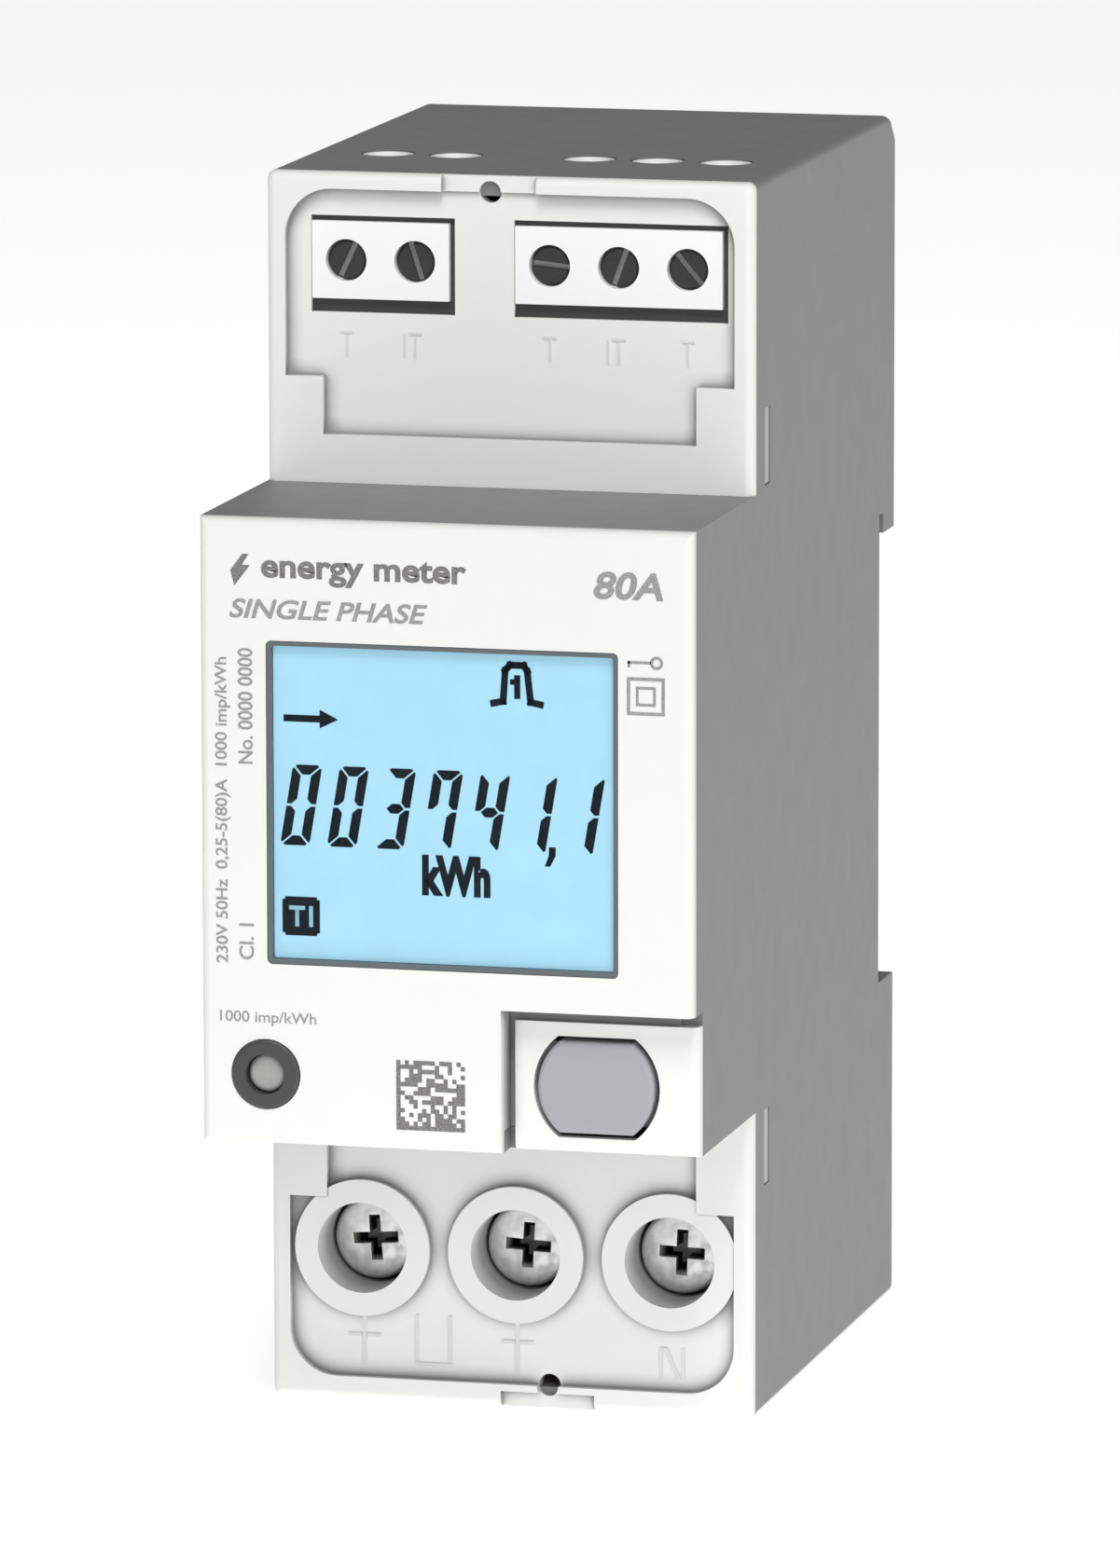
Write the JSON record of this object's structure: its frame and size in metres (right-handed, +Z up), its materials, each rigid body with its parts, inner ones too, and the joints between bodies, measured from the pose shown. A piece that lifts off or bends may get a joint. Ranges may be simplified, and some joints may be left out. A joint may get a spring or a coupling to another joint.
{
  "type": "smart electric meter",
  "caption": "Narrow rail-mounted electricity meter with a backlit display, menu key, cage clamp terminals at both ends and a spring rail clip.",
  "frame": {"origin": "middle of the meter's width, on the rail seat, at the height of the rail's middle", "axes": "+X to the meter's right as its display is read, +Y back into the rail, +Z up"},
  "size_m": [0.036, 0.0652, 0.09],
  "materials": {
    "housing_grey": "fine moulded texture, light grey",
    "cover_white": "fine moulded texture, off-white",
    "window_clear": "clear pane",
    "display_blue": "blue-lit liquid crystal cell",
    "bezel_dark": "dark grey",
    "backlight": "translucent light guide",
    "rubber_strip": "conductive elastomer",
    "board_green": "solder mask on glass laminate",
    "chip_black": "moulded epoxy",
    "key_grey": "satin grey",
    "led_ring": "dark grey",
    "lens_clear": "smoked light pipe",
    "aux_white": "white",
    "dark_steel": "blackened",
    "bright_steel": "nickel plated",
    "cage_brass": "nickel-brass",
    "copper_bar": "tinned copper bar",
    "clip_plastic": "black glass-filled nylon",
    "spring_steel": "spring wire",
    "film_yellow": "film capacitor case",
    "can_silver": "capacitor can",
    "varistor_blue": "epoxy dip",
    "resistor_body": "cement coat"
  },
  "bodies": {
    "meter_case": {"rear_housing": "housing_grey", "front_panel": "cover_white", "upper_terminal_panel": "cover_white", "lower_terminal_panel": "cover_white", "display_bezel": "bezel_dark", "display_window": "window_clear", "lcd_glass": "display_blue", "lcd_holder": "bezel_dark", "lcd_backlight": "backlight", "contact_strip": "rubber_strip", "display_board": "board_green", "board_screws": "bright_steel", "display_driver": "chip_black", "pulse_led": "lens_clear", "led_light_pipe": "lens_clear", "led_bezel": "led_ring", "key_switch": "chip_black", "main_board": "board_green", "board_pins": "bright_steel", "pin_carrier": "chip_black", "microcontroller": "chip_black", "metering_chip": "chip_black", "crystal": "can_silver", "storage_capacitor": "can_silver", "optocouplers": "chip_black", "supply_capacitor": "film_yellow", "smoothing_capacitor": "can_silver", "varistor": "varistor_blue", "fusible_resistor": "resistor_body", "current_shunt": "copper_bar", "aux_block_two_pole": "aux_white", "aux_block_three_pole": "aux_white", "aux_contacts": "bright_steel", "clip_spring": "spring_steel", "busbar_line_in": "copper_bar", "busbar_line_out": "copper_bar", "busbar_neutral": "copper_bar"},
    "menu_key": {"menu_key": "key_grey", "switch_plunger": "chip_black"},
    "rail_clip": {"rail_clip": "clip_plastic"},
    "main_screw_line_in": {"main_screw_line_in": "bright_steel"},
    "main_cage_line_in": {"main_cage_line_in": "cage_brass"},
    "main_screw_line_out": {"main_screw_line_out": "bright_steel"},
    "main_cage_line_out": {"main_cage_line_out": "cage_brass"},
    "main_screw_neutral": {"main_screw_neutral": "bright_steel"},
    "main_cage_neutral": {"main_cage_neutral": "cage_brass"},
    "aux_screw_1": {"aux_screw_1": "dark_steel"},
    "aux_cage_1": {"aux_cage_1": "cage_brass"},
    "aux_screw_2": {"aux_screw_2": "dark_steel"},
    "aux_cage_2": {"aux_cage_2": "cage_brass"},
    "aux_screw_3": {"aux_screw_3": "dark_steel"},
    "aux_cage_3": {"aux_cage_3": "cage_brass"},
    "aux_screw_4": {"aux_screw_4": "dark_steel"},
    "aux_cage_4": {"aux_cage_4": "cage_brass"},
    "aux_screw_5": {"aux_screw_5": "dark_steel"},
    "aux_cage_5": {"aux_cage_5": "cage_brass"}
  },
  "joints": [
    {"name": "menu_key_press", "type": "slide", "parent": "meter_case", "child": "menu_key", "axis": [0, 1, 0], "range_m": [0, 0.0008], "stiffness_N_per_m": 800, "springref_m": -0.0006},
    {"name": "rail_clip_slide", "type": "slide", "parent": "meter_case", "child": "rail_clip", "axis": [0, 0, -1], "range_m": [0, 0.0045], "stiffness_N_per_m": 600, "springref_m": -0.003, "deforming": ["clip_spring"]},
    {"name": "main_screw_line_in_turn", "type": "hinge", "parent": "meter_case", "child": "main_screw_line_in", "pos_m": [-0.0112, -0.0335, -0.0312], "axis": [0, 1, 0], "range_deg": [0, 2343]},
    {"name": "main_cage_line_in_rise", "type": "slide", "parent": "meter_case", "child": "main_cage_line_in", "axis": [0, -1, 0], "range_m": [0, 0.0052]},
    {"name": "main_screw_line_out_turn", "type": "hinge", "parent": "meter_case", "child": "main_screw_line_out", "pos_m": [0.0003, -0.0335, -0.0312], "axis": [0, 1, 0], "range_deg": [0, 2343]},
    {"name": "main_cage_line_out_rise", "type": "slide", "parent": "meter_case", "child": "main_cage_line_out", "axis": [0, -1, 0], "range_m": [0, 0.0052]},
    {"name": "main_screw_neutral_turn", "type": "hinge", "parent": "meter_case", "child": "main_screw_neutral", "pos_m": [0.0118, -0.0335, -0.0312], "axis": [0, 1, 0], "range_deg": [0, 2343]},
    {"name": "main_cage_neutral_rise", "type": "slide", "parent": "meter_case", "child": "main_cage_neutral", "axis": [0, -1, 0], "range_m": [0, 0.0052]},
    {"name": "aux_screw_1_turn", "type": "hinge", "parent": "meter_case", "child": "aux_screw_1", "pos_m": [-0.0122, -0.0365, 0.0411], "axis": [0, 1, 0], "range_deg": [0, 2163]},
    {"name": "aux_cage_1_rise", "type": "slide", "parent": "meter_case", "child": "aux_cage_1", "axis": [0, -1, 0], "range_m": [0, 0.0027]},
    {"name": "aux_screw_2_turn", "type": "hinge", "parent": "meter_case", "child": "aux_screw_2", "pos_m": [-0.00712, -0.0365, 0.0411], "axis": [0, 1, 0], "range_deg": [0, 2163]},
    {"name": "aux_cage_2_rise", "type": "slide", "parent": "meter_case", "child": "aux_cage_2", "axis": [0, -1, 0], "range_m": [0, 0.0027]},
    {"name": "aux_screw_3_turn", "type": "hinge", "parent": "meter_case", "child": "aux_screw_3", "pos_m": [0.00286, -0.0365, 0.0411], "axis": [0, 1, 0], "range_deg": [0, 2163]},
    {"name": "aux_cage_3_rise", "type": "slide", "parent": "meter_case", "child": "aux_cage_3", "axis": [0, -1, 0], "range_m": [0, 0.0027]},
    {"name": "aux_screw_4_turn", "type": "hinge", "parent": "meter_case", "child": "aux_screw_4", "pos_m": [0.00794, -0.0365, 0.0411], "axis": [0, 1, 0], "range_deg": [0, 2163]},
    {"name": "aux_cage_4_rise", "type": "slide", "parent": "meter_case", "child": "aux_cage_4", "axis": [0, -1, 0], "range_m": [0, 0.0027]},
    {"name": "aux_screw_5_turn", "type": "hinge", "parent": "meter_case", "child": "aux_screw_5", "pos_m": [0.01302, -0.0365, 0.0411], "axis": [0, 1, 0], "range_deg": [0, 2163]},
    {"name": "aux_cage_5_rise", "type": "slide", "parent": "meter_case", "child": "aux_cage_5", "axis": [0, -1, 0], "range_m": [0, 0.0027]}
  ],
  "couplings": [
    {"joint": "main_screw_line_in_turn", "follows": "main_cage_line_in_rise", "rad_per_m": 7854},
    {"joint": "main_screw_line_out_turn", "follows": "main_cage_line_out_rise", "rad_per_m": 7854},
    {"joint": "main_screw_neutral_turn", "follows": "main_cage_neutral_rise", "rad_per_m": 7854},
    {"joint": "aux_screw_1_turn", "follows": "aux_cage_1_rise", "rad_per_m": 13963},
    {"joint": "aux_screw_2_turn", "follows": "aux_cage_2_rise", "rad_per_m": 13963},
    {"joint": "aux_screw_3_turn", "follows": "aux_cage_3_rise", "rad_per_m": 13963},
    {"joint": "aux_screw_4_turn", "follows": "aux_cage_4_rise", "rad_per_m": 13963},
    {"joint": "aux_screw_5_turn", "follows": "aux_cage_5_rise", "rad_per_m": 13963}
  ]
}
